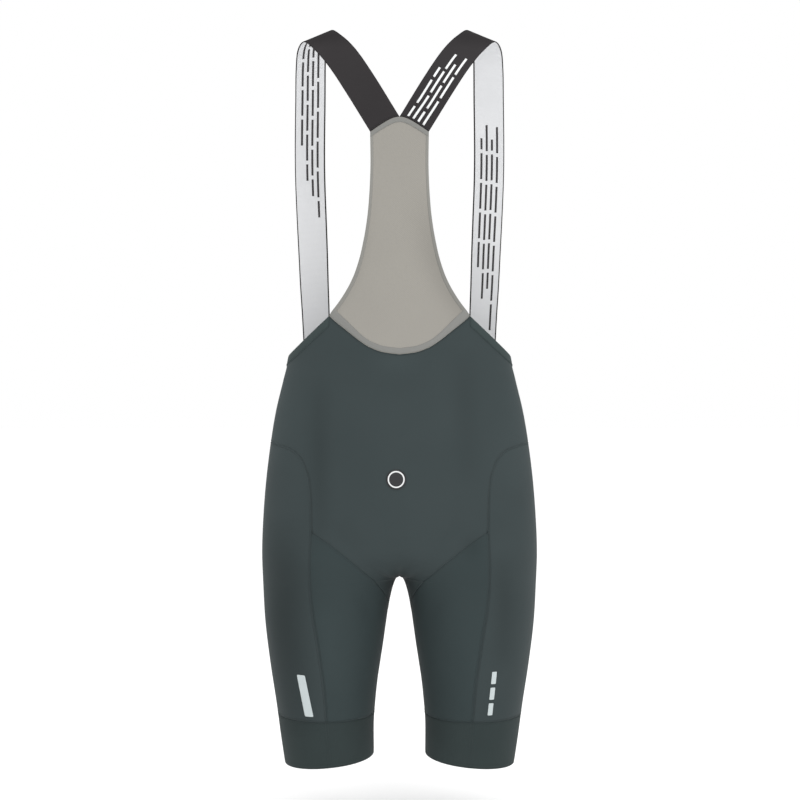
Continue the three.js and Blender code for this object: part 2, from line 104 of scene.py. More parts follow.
# z, half the mesh panel's width
meshSides = [
    (peak[1], peak[0]), (-352.9, 83.5), (-338.5, 72.6), (-324, 63.4), (-309.5, 56.2), (-295, 51),
    (-280.5, 46.9), (-252, 41.2), (-223, 37.6), (-180, 35.3), (meshTop[1], meshTop[0]),
]
# rows down a body panel: z at the side seam, z at the centre
cornerRows = [(-513, -484), (-515.5, -498), (-521.5, -513), (-533, -531), (-552, -551)]
# the left strap's middle x, y, z, with the turn about Z and the lean of its width in degrees
strapStations = [
    (-48.8, -91, -75, -3, 31.5), (-70.3, -66, -39.5, 5, 31.5), (-88.9, -34, -14, 14, 28),
    (-104.8, 0, 1.5, 21, 25), (-112.8, 26, -7, 20, 17), (-115.2, 46, -29, 15, 8),
    (-116.6, 66, -69, 11, 2), (-118, 81, -132, 8, 0), (-117.8, 86, -171, 8, 0),
    (-116.2, 88, -218, 11, 0), (-114.2, 87, -265, 17, 0), (-112.3, 84.5, -313, 23, 0),
    (-110.4, 81, -350, 28, 0), (-109, 76.5, -388, 33, 1),
]
# how many points each stretch of the body's grids has
gridCounts = {
    "slope": 23, "scoop": 37, "strapSide": 8, "strapSeat": 15, "frontScoop": 34, "top": 33, "corner": 29,
    "hip": 18, "join": 34, "fork": 30, "gusset": 16, "leg": 42, "sideLevel": 24, "thighAcross": 34,
    "bandOuter": 60, "bandInner": 91, "bandDown": 20, "meshAcross": 37, "meshDown": 84,
}
strapWidth = 40.0
strapSpans = 24  # the strap's ends take up their seams over one part in this many


def lerp(a, b, t):
    return a + (b - a) * t


def smooth(t):
    t = np.clip(t, 0, 1)
    return t * t * (3 - 2 * t)


def tableAt(table, at, column=1, by=0):
    # a smooth curve through a table's rows, held at its ends
    rows = np.array(table, float)
    rows = rows[np.argsort(rows[:, by])]
    x, y = rows[:, by], rows[:, column]
    slope = np.empty_like(y)
    slope[1:-1] = (y[2:] - y[:-2]) / (x[2:] - x[:-2])
    slope[0] = (y[1] - y[0]) / (x[1] - x[0])
    slope[-1] = (y[-1] - y[-2]) / (x[-1] - x[-2])
    at = np.clip(at, x[0], x[-1])
    i = np.clip(np.searchsorted(x, at) - 1, 0, len(x) - 2)
    span = x[i + 1] - x[i]
    t = (at - x[i]) / span
    t2, t3 = t * t, t * t * t
    start = (2 * t3 - 3 * t2 + 1) * y[i] + (t3 - 2 * t2 + t) * span * slope[i]
    return start + (3 * t2 - 2 * t3) * y[i + 1] + (t3 - t2) * span * slope[i + 1]


# The body's left half: share 0 is the centre front, 0.5 the outermost side, 1 the centre back.
# Below the crotch the share runs once round the leg, from the inseam.
def legMerge(half, z):
    # 0 where the section is the torso's, 1 where it is the leg's
    fall = np.clip((joinTopZ - z) / joinHeight, 0, 1)
    return 1 - (1 - fall * fall) ** lerp(0.5, 2.0, smooth(half / turnReach))


def spread(share):
    # wider steps beside the centre line
    scale = (math.hypot(0.5, centreSpread) - centreSpread) / 0.5
    return np.sqrt((share * scale + centreSpread) ** 2 - centreSpread**2)


def oval(across, squareness):
    # how deep a squarish oval is at a part of its half width
    return (1 - np.minimum(np.abs(across), 1) ** squareness) ** (1 / squareness)


def bodyPoint(share, z):
    # past 0 or 1 the share folds back on the torso's other half, or runs on round the leg
    share, z = np.broadcast_arrays(np.asarray(share, float), np.asarray(z, float))
    joined = z > crotchZ
    outside = (share < 0) | (share > 1)
    folded = np.where(share < 0, -share, 2 - share)
    within = np.where(outside, np.where(joined, folded, share - np.floor(share)), share)
    side = tableAt(outline, z)
    inner = np.where(z < crotchZ, tableAt(innerLeg, np.sqrt(np.maximum(crotchZ - z, 0))), 0)
    onFront = within <= 0.5
    depth = np.where(onFront, tableAt(outline, z, 2), -tableAt(outline, z, 3))
    half = np.where(onFront, within, 1 - within)
    middle = tableAt(legMiddle, z)
    merge = legMerge(half, z)
    legCos = np.cos(2 * math.pi * half)
    legAcross = middle - np.where(legCos > 0, middle - inner, side - middle) * legCos
    across = lerp(side * np.sin(math.pi * spread(half)), legAcross, merge)
    torsoDepth = oval(across / side, torsoSquareness)
    rise = np.clip(z - crotchZ, 0, joinHeight)
    bridge = bridgeSlope * rise * (1 - np.minimum(across / middle, 1) ** 2)
    bridged = np.sqrt(across**2 + bridge**2)
    legRadius = np.where(bridged < middle, middle - inner, side - middle)
    legDepth = oval((bridged - middle) / legRadius, legSquareness)
    towardsHem = np.clip((bandTopZ - z) / (bandTopZ - hemZ), 0, 1)
    x = np.where(outside & joined, across, -across)
    return np.stack([x, depth * lerp(torsoDepth, legDepth, merge), z + hemTilt * towardsHem * legCos], -1)


torsoStep = joinHeight * math.pi / 2
legStep = 16.0


# Rows run down the body: 1 where the torso begins to turn into legs, 2 at the crotch.
def rowOf(z):
    fall = np.clip((joinTopZ - z) / joinHeight, 0, 1)
    level = 1 + np.arcsin(fall) / (math.pi / 2)
    below = 2 + np.sqrt(np.maximum(crotchZ - z, 0)) / legStep
    return np.where(z >= joinTopZ, 1 - (z - joinTopZ) / torsoStep, np.where(z >= crotchZ, level, below))


def heightOf(row):
    level = joinTopZ - joinHeight * np.sin((np.clip(row, 1, 2) - 1) * math.pi / 2)
    below = crotchZ - ((np.maximum(row, 2) - 2) * legStep) ** 2
    return np.where(row <= 1, joinTopZ + (1 - row) * torsoStep, np.where(row <= 2, level, below))


def unit(v):
    return v / np.maximum(np.linalg.norm(v, axis=-1, keepdims=True), 1e-9)


def bodyNode(share, z):
    # a point of the surface and its outward normal
    share, z = np.broadcast_arrays(np.asarray(share, float), np.asarray(z, float))
    around = bodyPoint(share + shareStep, z) - bodyPoint(share - shareStep, z)
    row = rowOf(z)
    down = bodyPoint(share, heightOf(row + rowStep)) - bodyPoint(share, heightOf(row - rowStep))
    normal = unit(np.cross(down, around))
    onCentre = (z >= crotchZ) & ((share == 0) | (share == 1))
    normal[..., 0] = np.where(onCentre, 0, normal[..., 0])
    return bodyPoint(share, z), unit(normal)


def shareAt(across, z, onBack=True):
    # the share that lies this far across, found by halving
    across, z = np.broadcast_arrays(np.asarray(across, float), np.asarray(z, float))
    near, far = np.full(across.shape, 0.5), np.full(across.shape, 1.0)
    for _ in range(halvings):
        middle = (near + far) / 2
        further = -bodyPoint(middle, z)[..., 0] > across
        near, far = np.where(further, middle, near), np.where(further, far, middle)
    near = np.where(across <= 0, 1.0, near)
    return near if onBack else 1 - near


def sideSeamShare(z):
    z = np.asarray(z, float)
    return np.where(z >= cornerRows[0][0], 0.5, shareAt(tableAt(sideSeam, z), z))


atCrotchShare = float(shareAt(thighSeam[-1][1], crotchZ))


def thighSeamShare(z):
    z = np.asarray(z, float)
    fork = shareAt(tableAt(thighSeam, z), z)
    below = lerp(atCrotchShare, 1, np.clip((crotchZ - z) / gussetDrop, 0, 1))
    return np.where(z > forkTipZ, sideSeamShare(z), np.where(z > crotchZ, fork, below))


# The side panel's rounded top as a smooth curve, one step for each corner row and mirrored in front.
cornerShares = [float(sideSeamShare(z)) for z, _ in cornerRows]
lastCorner = len(cornerRows) - 1
cornerPath = [(-i, 1 - cornerShares[i], cornerRows[i][0]) for i in range(lastCorner, 0, -1)]
cornerPath += [(i, cornerShares[i], cornerRows[i][0]) for i in range(lastCorner + 1)]
cornerCentres = [(i, row[1]) for i, row in enumerate(cornerRows)]
cornerSteps = np.linspace(0, lastCorner, gridCounts["corner"])
turns = np.linspace(0, math.pi / 2, gridCounts["join"])
forkTurn = math.asin((joinTopZ - forkTipZ) / joinHeight)
hipZ = np.linspace(cornerRows[-1][0], joinTopZ, gridCounts["hip"])[1:]
forkZ = joinTopZ - joinHeight * np.sin(np.linspace(forkTurn, math.pi / 2, gridCounts["fork"]))
gussetZ = crotchZ - gussetDrop * np.linspace(0, 1, gridCounts["gusset"])[1:] ** 2
legZ = np.linspace(gussetZ[-1], bandTopZ, gridCounts["leg"])[1:]


def onEdge(share, height):
    # how high a top edge is at a share, its height given by the distance across
    z = np.full(np.shape(share), peak[1])
    for _ in range(edgeTries):
        z = height(-bodyPoint(share, z)[..., 0])
    return z


def straight(a, b):
    # a straight edge from a to b, each a distance across and a height
    return lambda across: lerp(a[1], b[1], np.clip((across - a[0]) / (b[0] - a[0]), 0, 1))


# Columns of each body panel's half, and the height of its top edge at each.
peakShare = float(shareAt(*peak))
slopeShares = np.linspace(0.5, peakShare, gridCounts["slope"])[:-1]
scoopShares = lerp(1, peakShare, (1 - np.linspace(0, 1, gridCounts["scoop"])) ** columnPower)
backShares = np.concatenate([slopeShares, scoopShares])
backTopZ = np.concatenate([
    onEdge(slopeShares, straight(peak, waistCorner)),
    [peak[1]],
    onEdge(scoopShares[1:], lambda across: tableAt(backScoop, across)),
])
seatOuterShare = float(shareAt(*strapSeatOuter, onBack=False))
seatInnerShare = float(shareAt(*strapSeatInner, onBack=False))
sideShares = np.linspace(0.5, seatOuterShare, gridCounts["strapSide"])[:-1]
seatShares = np.linspace(seatOuterShare, seatInnerShare, gridCounts["strapSeat"])[:-1]
lowShares = seatInnerShare * (1 - np.linspace(0, 1, gridCounts["frontScoop"])) ** columnPower
frontShares = np.concatenate([sideShares, seatShares, lowShares])
frontTopZ = np.concatenate([
    onEdge(sideShares, straight(strapSeatOuter, waistCorner)),
    onEdge(seatShares, straight(strapSeatInner, strapSeatOuter)),
    onEdge(lowShares, lambda across: tableAt(frontScoop, across)),
])


def bodyPanelGrid(shares, topZ, centreShare):
    # from the top edge to the side panel's top, and on down along the seams
    parts = (shares - 0.5) / (centreShare - 0.5)
    onBack = centreShare == 1
    cornerShare = tableAt(cornerPath, cornerSteps, 1)
    cornerZ = tableAt(cornerPath, cornerSteps, 2)
    seamZ = np.concatenate([cornerZ, hipZ, joinTopZ - joinHeight * np.sin(turns[1:]), gussetZ])
    centreZ = np.concatenate([tableAt(cornerCentres, cornerSteps), seamZ[len(cornerSteps):]])
    seamShare = np.concatenate([cornerShare, thighSeamShare(seamZ[len(cornerSteps):])])
    if not onBack:
        seamShare = 1 - seamShare
    share = lerp(seamShare[:, None], centreShare, parts[None, :])
    z = lerp(seamZ[:, None], centreZ[:, None], parts[None, :])
    topRows = gridCounts["top"]
    rise = np.linspace(0, 1, topRows + 1)[:-1, None]
    share = np.concatenate([np.broadcast_to(shares, (topRows, len(shares))), share])
    z = np.concatenate([lerp(topZ[None, :], z[0][None, :], rise), z])
    return share, z


def sidePanelGrid():
    # rows that follow the rounded top, and level ones below joinTopZ
    steps = np.linspace(-lastCorner, lastCorner, 2 * gridCounts["corner"] - 1)
    topShare, topZ = tableAt(cornerPath, steps, 1), tableAt(cornerPath, steps, 2)
    cornerZ = cornerRows[-1][0]
    topPart = (topShare - topShare[0]) / (topShare[-1] - topShare[0])
    even = np.linspace(0, 1, len(steps))
    flat = np.linspace(0, 1, gridCounts["sideLevel"])[:, None]
    seam = sideSeamShare(lerp(cornerZ, joinTopZ, flat))
    part = lerp(topPart[None, :], even[None, :], flat)
    share, z = lerp(1 - seam, seam, part), lerp(topZ[None, :], joinTopZ, flat)
    levels = np.concatenate([joinTopZ - joinHeight * np.sin(turns[1:]), gussetZ, legZ])[:, None]
    seam = sideSeamShare(levels)
    share = np.concatenate([share, lerp(1 - seam, seam, even[None, :])])
    return share, np.concatenate([z, np.broadcast_to(levels, (len(levels), len(steps)))])


def thighPanelGrid(onBack):
    levels = np.concatenate([forkZ, gussetZ, legZ])[:, None]
    part = np.linspace(0, 1, gridCounts["thighAcross"])[None, :]
    share = lerp(sideSeamShare(levels), thighSeamShare(levels), part)
    return share if onBack else 1 - share, np.broadcast_to(levels, share.shape)


def legBandGrid():
    seam = float(sideSeamShare(bandTopZ))
    outerPart = np.linspace(1 - seam, seam, gridCounts["bandOuter"])
    innerPart = np.linspace(seam, 2 - seam, gridCounts["bandInner"])[1:]
    return np.meshgrid(np.concatenate([outerPart, innerPart]),
                       np.linspace(bandTopZ, hemZ, gridCounts["bandDown"]))


def meshNodes(rise, column):
    # column 0 is the side edge and 1 the centre line
    shares = lerp(1, peakShare, (1 - column) ** columnPower)
    z = onEdge(shares, lambda across: tableAt(backScoop, across))
    parts = -bodyPoint(shares, z)[..., 0] / peak[0]
    half = tableAt(meshSides, lerp(peak[1], meshTop[1], rise))
    across = parts * half
    height = lerp(z, tableAt(meshPoint, parts * meshTop[0]), rise)
    return bodyNode(shareAt(across, height), height)


def curveAt(points, t):
    # a smooth curve through points, t from 0 to 1
    points = np.vstack([2 * points[0] - points[1], points, 2 * points[-1] - points[-2]])
    at = np.asarray(t, float) * (len(points) - 3)
    i = np.clip(np.floor(at).astype(int), 0, len(points) - 4)
    w = (at - i)[..., None]
    p = [points[i + k] for k in range(4)]
    d = [np.sqrt(np.linalg.norm(p[k + 1] - p[k], axis=-1, keepdims=True)) for k in range(3)]
    m1 = ((p[1] - p[0]) / d[0] - (p[2] - p[0]) / (d[0] + d[1]) + (p[2] - p[1]) / d[1]) * d[1]
    m2 = ((p[2] - p[1]) / d[1] - (p[3] - p[1]) / (d[1] + d[2]) + (p[3] - p[2]) / d[2]) * d[1]
    return p[1] + m1 * w + (3 * (p[2] - p[1]) - 2 * m1 - m2) * w**2 + (2 * (p[1] - p[2]) + m1 + m2) * w**3


# Where the strap meets the mesh and the front body, part 0 at its outer edge
def meshEndAt(part):
    across = meshTop[0] * (1 - part)
    z = tableAt(meshPoint, across)
    return bodyNode(shareAt(across, z), z)


def frontEndAt(part):
    share = lerp(seatOuterShare, seatInnerShare, part)
    return bodyNode(share, onEdge(share, straight(strapSeatInner, strapSeatOuter)))


def strapEdges():
    edges = []
    for sign, part in ((-1, 0.0), (1, 1.0)):
        middle = []
        for x, y, z, turn, lean in strapStations:
            about, up = math.radians(turn), math.radians(lean)
            width = np.array([math.cos(about) * math.cos(up), math.sin(about) * math.cos(up), math.sin(up)])
            middle.append(np.array([x, y, z]) + width * sign * strapWidth / 2)
        ends = [f(np.array(part))[0] for f in (meshEndAt, frontEndAt)]
        edges.append(np.vstack([ends[0], middle, ends[1]]))
    return edges


outerEdge, innerEdge = strapEdges()


def strapNode(t, part):
    # t runs from the mesh panel over the shoulder to the front, part from the outer edge to the inner
    t, part = np.broadcast_arrays(np.asarray(t, float), np.asarray(part, float))
    outer, inner = curveAt(outerEdge, t), curveAt(innerEdge, t)
    point = lerp(outer, inner, part[..., None])
    step = 0.002
    after, before = np.clip(t + step, 0, 1), np.clip(t - step, 0, 1)
    along = curveAt(outerEdge, after) - curveAt(outerEdge, before)
    along = along + curveAt(innerEdge, after) - curveAt(innerEdge, before)
    normal = unit(np.cross(inner - outer, along))
    for end, at, nodeAt in ((t, 0.0, meshEndAt), (1 - t, 1.0, frontEndAt)):
        fade = (1 - smooth(end * strapSpans))[..., None]
        seat, seatNormal = nodeAt(part)
        ends = [curveAt(edge, np.full(t.shape, at)) for edge in (outerEdge, innerEdge)]
        flat = lerp(*ends, part[..., None])
        point = point + (seat - flat) * fade
        normal = unit(lerp(normal, seatNormal, fade))
    return point, normal


def mirrored(node):
    flip = np.array([-1.0, 1, 1])
    return node[0] * flip, node[1] * flip


print("form ready")

# Soft creases of the cloth: a trough or ridge along a line of x and z, on the back or the front.
# Depths are in millimetres, negative for a trough, uneven as cloth on a body is.
backCreases = [
    {"line": [(-99, -428), (-99, -530), (-98, -652)], "width": 14, "depth": -2.2},
    {"line": [(81, -396), (80, -470), (84, -566)], "width": 17, "depth": -1.5},
    {"line": [(-146, -392), (-150, -470), (-150, -552)], "width": 22, "depth": 1.8},
    {"line": [(148, -386), (151, -480), (152, -580)], "width": 24, "depth": 1.3},
    {"line": [(-135, -604), (-137, -730), (-127, -878)], "width": 27, "depth": -3.5},
    {"line": [(141, -636), (142, -740), (133, -872)], "width": 20, "depth": -0.9},
    {"line": [(121, -644), (127, -720), (122, -798)], "width": 14, "depth": -2.2},
    {"line": [(-79, -604), (-66, -625), (-49, -640)], "width": 6, "depth": -0.5},
    {"line": [(-66, -601), (-56, -619), (-38, -634)], "width": 5, "depth": -0.35},
    {"line": [(45, -636), (60, -622), (78, -606)], "width": 6, "depth": -0.45},
    {"line": [(58, -612), (66, -603), (74, -590)], "width": 5, "depth": -0.3},
    {"line": [(-38, -652), (-20, -661), (-2, -664)], "width": 6, "depth": -0.7},
    {"line": [(2, -664), (22, -661), (41, -650)], "width": 6, "depth": -0.6},
    {"line": [(-60, -700), (-42, -716), (-36, -742)], "width": 8, "depth": -0.5},
    {"line": [(57, -704), (41, -722), (37, -751)], "width": 8, "depth": -0.5},
    {"line": [(-92, -700), (-88, -760), (-86, -830)], "width": 15, "depth": 0.9},
    {"line": [(90, -706), (87, -770), (84, -838)], "width": 16, "depth": 0.5},
]
frontCreases = [
    {"line": [(-95, -450), (-92, -510), (-90, -580)], "width": 16, "depth": -1.5},
    {"line": [(92, -446), (94, -520), (89, -590)], "width": 17, "depth": -1.6},
    {"line": [(-60, -600), (-34, -628), (-18, -650)], "width": 9, "depth": -0.8},
    {"line": [(63, -604), (37, -630), (16, -654)], "width": 9, "depth": -0.7},
    {"line": [(-46, -640), (-24, -656), (-6, -664)], "width": 6, "depth": -0.6},
    {"line": [(44, -637), (26, -655), (8, -665)], "width": 6, "depth": -0.5},
    {"line": [(-88, -695), (-60, -703), (-40, -722)], "width": 9, "depth": -0.7},
    {"line": [(86, -690), (62, -704), (41, -718)], "width": 9, "depth": -0.6},
    {"line": [(-96, -730), (-90, -780), (-84, -836)], "width": 15, "depth": 0.7},
    {"line": [(94, -726), (90, -785), (86, -840)], "width": 15, "depth": 0.7},
]


# A crease fades at its ends and where the cloth turns to the side.
creaseShape = {"turnedAway": 0.35, "fade": 0.8, "steps": 49}


def creaseHeight(points, normals):
    x, z = points[..., 0], points[..., 2]
    height = np.zeros(x.shape)
    for creases, side in ((backCreases, -1), (frontCreases, 1)):
        facing = smooth(normals[..., 1] * side / creaseShape["turnedAway"])
        for crease in creases:
            (ax, az), (bx, bz), (cx, cz) = crease["line"]
            nearest = np.full(x.shape, 1e9)
            fade = np.zeros(x.shape)
            for t in np.linspace(0, 1, creaseShape["steps"]):
                px = (1 - t) ** 2 * ax + 2 * t * (1 - t) * (2 * bx - (ax + cx) / 2) + t * t * cx
                pz = (1 - t) ** 2 * az + 2 * t * (1 - t) * (2 * bz - (az + cz) / 2) + t * t * cz
                far = (x - px) ** 2 + (z - pz) ** 2
                fade = np.where(far < nearest, math.sin(math.pi * t) ** creaseShape["fade"], fade)
                nearest = np.minimum(nearest, far)
            height += crease["depth"] * np.exp(-nearest / crease["width"] ** 2) * fade * facing
    return height


# Painted shading on the knit: painted shade darkens its troughs and painted light lightens its ridges. Soft
# patches add
# to that: painted shade in the arch between the legs, on the left leg's outer side and hem and at the right
# fork's corner, and painted light on the inner thighs and a painted highlight under the scoop.
# painted shade in the creases' troughs and painted light on their ridges, for each millimetre of height
troughShadePerMm = 0.07
paintedLightPatches = [
    {"x": 0, "z": crotchZ, "across": 18, "up": 10, "amount": -0.47},
    {"x": -158, "z": -740, "across": 24, "up": 120, "amount": -0.15},
    {"x": -27, "z": -738, "across": 13, "up": 70, "amount": 0.09},
    {"x": 27, "z": -738, "across": 13, "up": 70, "amount": 0.09},
    {"x": -128, "z": -846, "across": 26, "up": 56, "amount": -0.09},
    {"x": 88, "z": -638, "across": 14, "up": 15, "amount": -0.13},
    {"x": -3, "z": -412, "across": 28, "up": 15, "amount": 0.12},
]


def knitPaintedShading(points, height):
    paintedShading = 1 + troughShadePerMm * height
    for patch in paintedLightPatches:
        across = (points[:, 0] - patch["x"]) / patch["across"]
        up = (points[:, 2] - patch["z"]) / patch["up"]
        paintedShading = paintedShading + patch["amount"] * np.exp(-(across**2) - up**2)
    return paintedShading


weldDecimals = 2  # points of two grids that agree to this many decimals of a millimetre are one


# An open sheet of welded grids, thickened into a closed wall of cloth by closeSheet below.
def makeSheet(grids):
    points, normals, faces, uvs = [], [], [], []
    found = {}
    for gridPoints, gridNormals in grids:
        rows, cols = gridPoints.shape[:2]
        along = np.linalg.norm(np.diff(gridPoints, axis=1), axis=-1)
        acrossMm = np.concatenate([np.zeros((rows, 1)), np.cumsum(along, axis=1)], axis=1)
        acrossMm -= acrossMm[:, -1:]
        index = np.empty((rows, cols), int)
        for j in range(rows):
            for i in range(cols):
                key = tuple(np.round(gridPoints[j, i], weldDecimals))
                if key not in found:
                    found[key] = len(points)
                    points.append(gridPoints[j, i])
                    normals.append(gridNormals[j, i])
                    uvs.append((acrossMm[j, i], gridPoints[j, i, 2]))
                index[j, i] = found[key]
        p = gridPoints
        area = np.cross(p[:-1, 1:] - p[:-1, :-1], p[1:, :-1] - p[:-1, :-1])
        turned = np.sum(area * gridNormals[:-1, :-1]) < 0
        for j in range(rows - 1):
            for i in range(cols - 1):
                loop = [index[j, i], index[j, i + 1], index[j + 1, i + 1], index[j + 1, i]]
                loop = [a for k, a in enumerate(loop) if a != loop[k - 1]]
                if len(set(loop)) >= 3 and len(set(loop)) == len(loop):
                    faces.append(loop[::-1] if turned else loop)
    return np.array(points), unit(np.array(normals)), faces, np.array(uvs)


def bothHalves(node):
    return makeSheet([node, mirrored(node)])


def borderOf(faces):
    uses = {}
    for face in faces:
        for k, a in enumerate(face):
            uses[(a, face[(k + 1) % len(face)])] = True
    return [(a, b) for a, b in uses if (b, a) not in uses]


def addToScene(name, data):
    thing = bpy.data.objects.new(name, data)
    bpy.context.collection.objects.link(thing)
    return thing


def addObject(name, verts, faces, materials, faceMaterial=None, uv=None, paintedShading=None):
    mesh = bpy.data.meshes.new(name)
    mesh.from_pydata([tuple(v * mm) for v in verts], [], faces)
    for material in materials:
        mesh.materials.append(material)
    if faceMaterial is not None:
        mesh.polygons.foreach_set("material_index", faceMaterial)
    mesh.polygons.foreach_set("use_smooth", [True] * len(mesh.polygons))
    if uv is not None:
        layer = mesh.uv_layers.new(name="cloth")
        corners = np.empty(len(mesh.loops), int)
        mesh.loops.foreach_get("vertex_index", corners)
        layer.data.foreach_set("uv", (uv[corners] * mm).ravel())
    if paintedShading is not None:
        # painted shade and painted light, which the cloth materials multiply into their colour
        mesh.attributes.new("paintedShading", "FLOAT", "POINT").data.foreach_set("value", paintedShading)
    mesh.update()
    return addToScene(name, mesh)


# In its lower part the mesh gets painted shade along its sides, more so on the right.
meshSideShade = {"left": (0.07, 9.0), "right": (0.17, 22.0), "fadeZ": -185.0, "fade": 110.0}


def meshPaintedShade(points):
    inward = tableAt(meshSides, np.maximum(points[:, 2], peak[1])) - np.abs(points[:, 0])
    low = smooth((meshSideShade["fadeZ"] - points[:, 2]) / meshSideShade["fade"])
    (weakLeft, reachLeft), (weakRight, reachRight) = meshSideShade["left"], meshSideShade["right"]
    left = weakLeft * np.exp(-(inward / reachLeft) ** 2)
    right = weakRight * np.exp(-(inward / reachRight) ** 2)
    return 1 - low * np.where(points[:, 0] > 0, right, left)


def closeSheet(name, sheet, wall, materials, lift=0.0, gap=seamGap / 2, edgeDrop=0.2, creased=True,
               paintedShadingOf=None):
    # materials are those of the outer face, the inner face and the edge
    points, normals, faces, uvs = sheet
    border = borderOf(faces)
    pull = np.zeros_like(points)
    for a, b in border:
        along = unit(points[b] - points[a])
        for i in (a, b):
            pull[i] += unit(np.cross(normals[i], along))
    outer = points + unit(pull) * gap * (np.linalg.norm(pull, axis=1, keepdims=True) > 0)
    creases = creaseHeight(points, normals) if creased else np.zeros(len(points))
    # painted shade and painted light on the knit, unless another painted shading is given
    paintedShading = knitPaintedShading(points, creases) if creased else np.ones(len(points))
    if paintedShadingOf:
        paintedShading = paintedShadingOf(points)
    height = creases + lift
    edge = sorted({i for pair in border for i in pair})
    height[edge] -= edgeDrop
    outer = outer + normals * height[:, None]
    inner = outer - normals * wall
    shift = len(points)
    allFaces = [tuple(face) for face in faces] + [tuple(i + shift for i in face[::-1]) for face in faces]
    allFaces += [(b, a, a + shift, b + shift) for a, b in border]
    count = len(faces)
    which = [0] * count + [min(1, len(materials) - 1)] * count + [len(materials) - 1] * len(border)
    allPoints = np.vstack([outer, inner])
    paintedShading = np.concatenate([paintedShading, np.ones(shift)])  # the inside stays even
    return addObject(name, allPoints, allFaces, materials, which, np.vstack([uvs, uvs]), paintedShading)


def setUp(piece, nodes=()):
    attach(piece, "root")
    if nodes:
        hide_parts(*nodes)
    return piece


# Materials. What every cloth shares; bumpDistance is in metres.
anyCloth = {
    "sheenRoughness": 0.5, "cloudDetail": 3, "ribWobble": 0.6, "ribDetail": 1, "grainScale": 900,
    "bumpDistance": 0.0002,
}


def newMaterial(name):
    material = bpy.data.materials.new(name)
    material.use_nodes = True
    return material, material.node_tree.nodes, material.node_tree.links


def setInputs(node, values):
    for socket, value in values.items():
        node.inputs[socket].default_value = value


def joinNodes(links, wires):
    for source, output, target, socket in wires:
        links.new(source.outputs[output], target.inputs[socket])


def linear(r, g, b):
    # a colour in levels of 0 to 255 as Blender's linear one
    return [((v / 255 + 0.055) / 1.055) ** 2.4 if v > 10 else v / 255 / 12.92 for v in (r, g, b)] + [1.0]


def clothMaterial(name, look):
    # knit or weave: mottled colour, fine bump of wales and courses on the Object coordinates
    material, nodes, links = newMaterial(name)
    shader = nodes["Principled BSDF"]
    setInputs(shader, {
        "Roughness": look["roughness"], "Specular IOR Level": look["specular"],
        "Sheen Weight": look["sheen"], "Sheen Roughness": anyCloth["sheenRoughness"],
    })
    coords = nodes.new("ShaderNodeTexCoord")
    cloud = nodes.new("ShaderNodeTexNoise")
    setInputs(cloud, {"Scale": look["cloudScale"], "Detail": anyCloth["cloudDetail"]})
    mix = nodes.new("ShaderNodeMix")
    mix.data_type = "RGBA"
    setInputs(mix, {"A": look["dark"], "B": look["light"]})
    # painted shade and painted light from the mesh's attribute, multiplied into the base colour
    paintedShading = nodes.new("ShaderNodeAttribute")
    paintedShading.attribute_name = "paintedShading"
    paintedShadingMix = nodes.new("ShaderNodeMix")
    paintedShadingMix.data_type = "RGBA"
    paintedShadingMix.blend_type = "MULTIPLY"
    setInputs(paintedShadingMix, {"Factor": 1.0})
    ribs = nodes.new("ShaderNodeTexWave")
    ribs.bands_direction = look["ribs"]
    setInputs(ribs, {
        "Scale": look["ribScale"], "Distortion": anyCloth["ribWobble"], "Detail": anyCloth["ribDetail"],
    })
    grain = nodes.new("ShaderNodeTexNoise")
    setInputs(grain, {"Scale": anyCloth["grainScale"]})
    height = nodes.new("ShaderNodeMath")
    height.operation = "ADD"
    bump = nodes.new("ShaderNodeBump")
    setInputs(bump, {"Strength": look["bump"], "Distance": anyCloth["bumpDistance"]})
    joinNodes(links, [
        (coords, "Object", cloud, "Vector"),
        (cloud, "Fac", mix, "Factor"),
        (mix, "Result", paintedShadingMix, "A"),
        (paintedShading, "Fac", paintedShadingMix, "B"),
        (paintedShadingMix, "Result", shader, "Base Color"),
        (coords, "UV" if look.get("onUv") else "Object", ribs, "Vector"),
        (coords, "Object", grain, "Vector"),
        (ribs, "Fac", height, 0),
        (grain, "Fac", height, 1),
        (height, 0, bump, "Height"),
        (bump, "Normal", shader, "Normal"),
    ])
    return material


def plainMaterial(name, colour, roughness, specular=0.3):
    material, nodes, _ = newMaterial(name)
    setInputs(nodes["Principled BSDF"], {
        "Base Color": colour, "Roughness": roughness, "Specular IOR Level": specular,
    })
    return material


knitLook = {
    "cloudScale": 9, "roughness": 0.7, "specular": 0.06, "sheen": 0.02, "ribs": "X", "ribScale": 320,
    "bump": 0.15,
}
bodyKnit = clothMaterial("bodyKnit", {
    **knitLook, "dark": linear(53, 61, 62), "light": linear(59, 67, 68),
})
sideKnit = clothMaterial("sideKnit", {
    **knitLook, "dark": linear(53, 61, 62), "light": linear(59, 67, 68),
})
thighKnit = clothMaterial("thighKnit", {
    **knitLook, "dark": linear(49, 58, 59), "light": linear(55, 64, 65),
})
hemKnit = clothMaterial("hemKnit", {
    **knitLook, "dark": linear(55, 64, 64), "light": linear(61, 70, 70), "roughness": 0.8,
})
bandKnit = clothMaterial("bandKnit", {
    "dark": linear(47, 55, 55), "light": linear(53, 61, 61), "cloudScale": 12, "roughness": 0.75,
    "specular": 0.05, "sheen": 0.02, "ribs": "Z", "ribScale": 260, "bump": 0.3,
})
meshCloth = clothMaterial("meshCloth", {
    "dark": linear(144, 141, 135), "light": linear(152, 149, 142), "cloudScale": 7, "roughness": 0.9,
    "specular": 0.05, "sheen": 0.02, "ribs": "DIAGONAL", "ribScale": 300, "bump": 0.4,
})
meshEdge = clothMaterial("meshEdge", {
    "dark": linear(124, 124, 121), "light": linear(131, 131, 128), "cloudScale": 12, "roughness": 0.85,
    "specular": 0.08, "sheen": 0.02, "ribs": "Z", "ribScale": 300, "bump": 0.3,
})
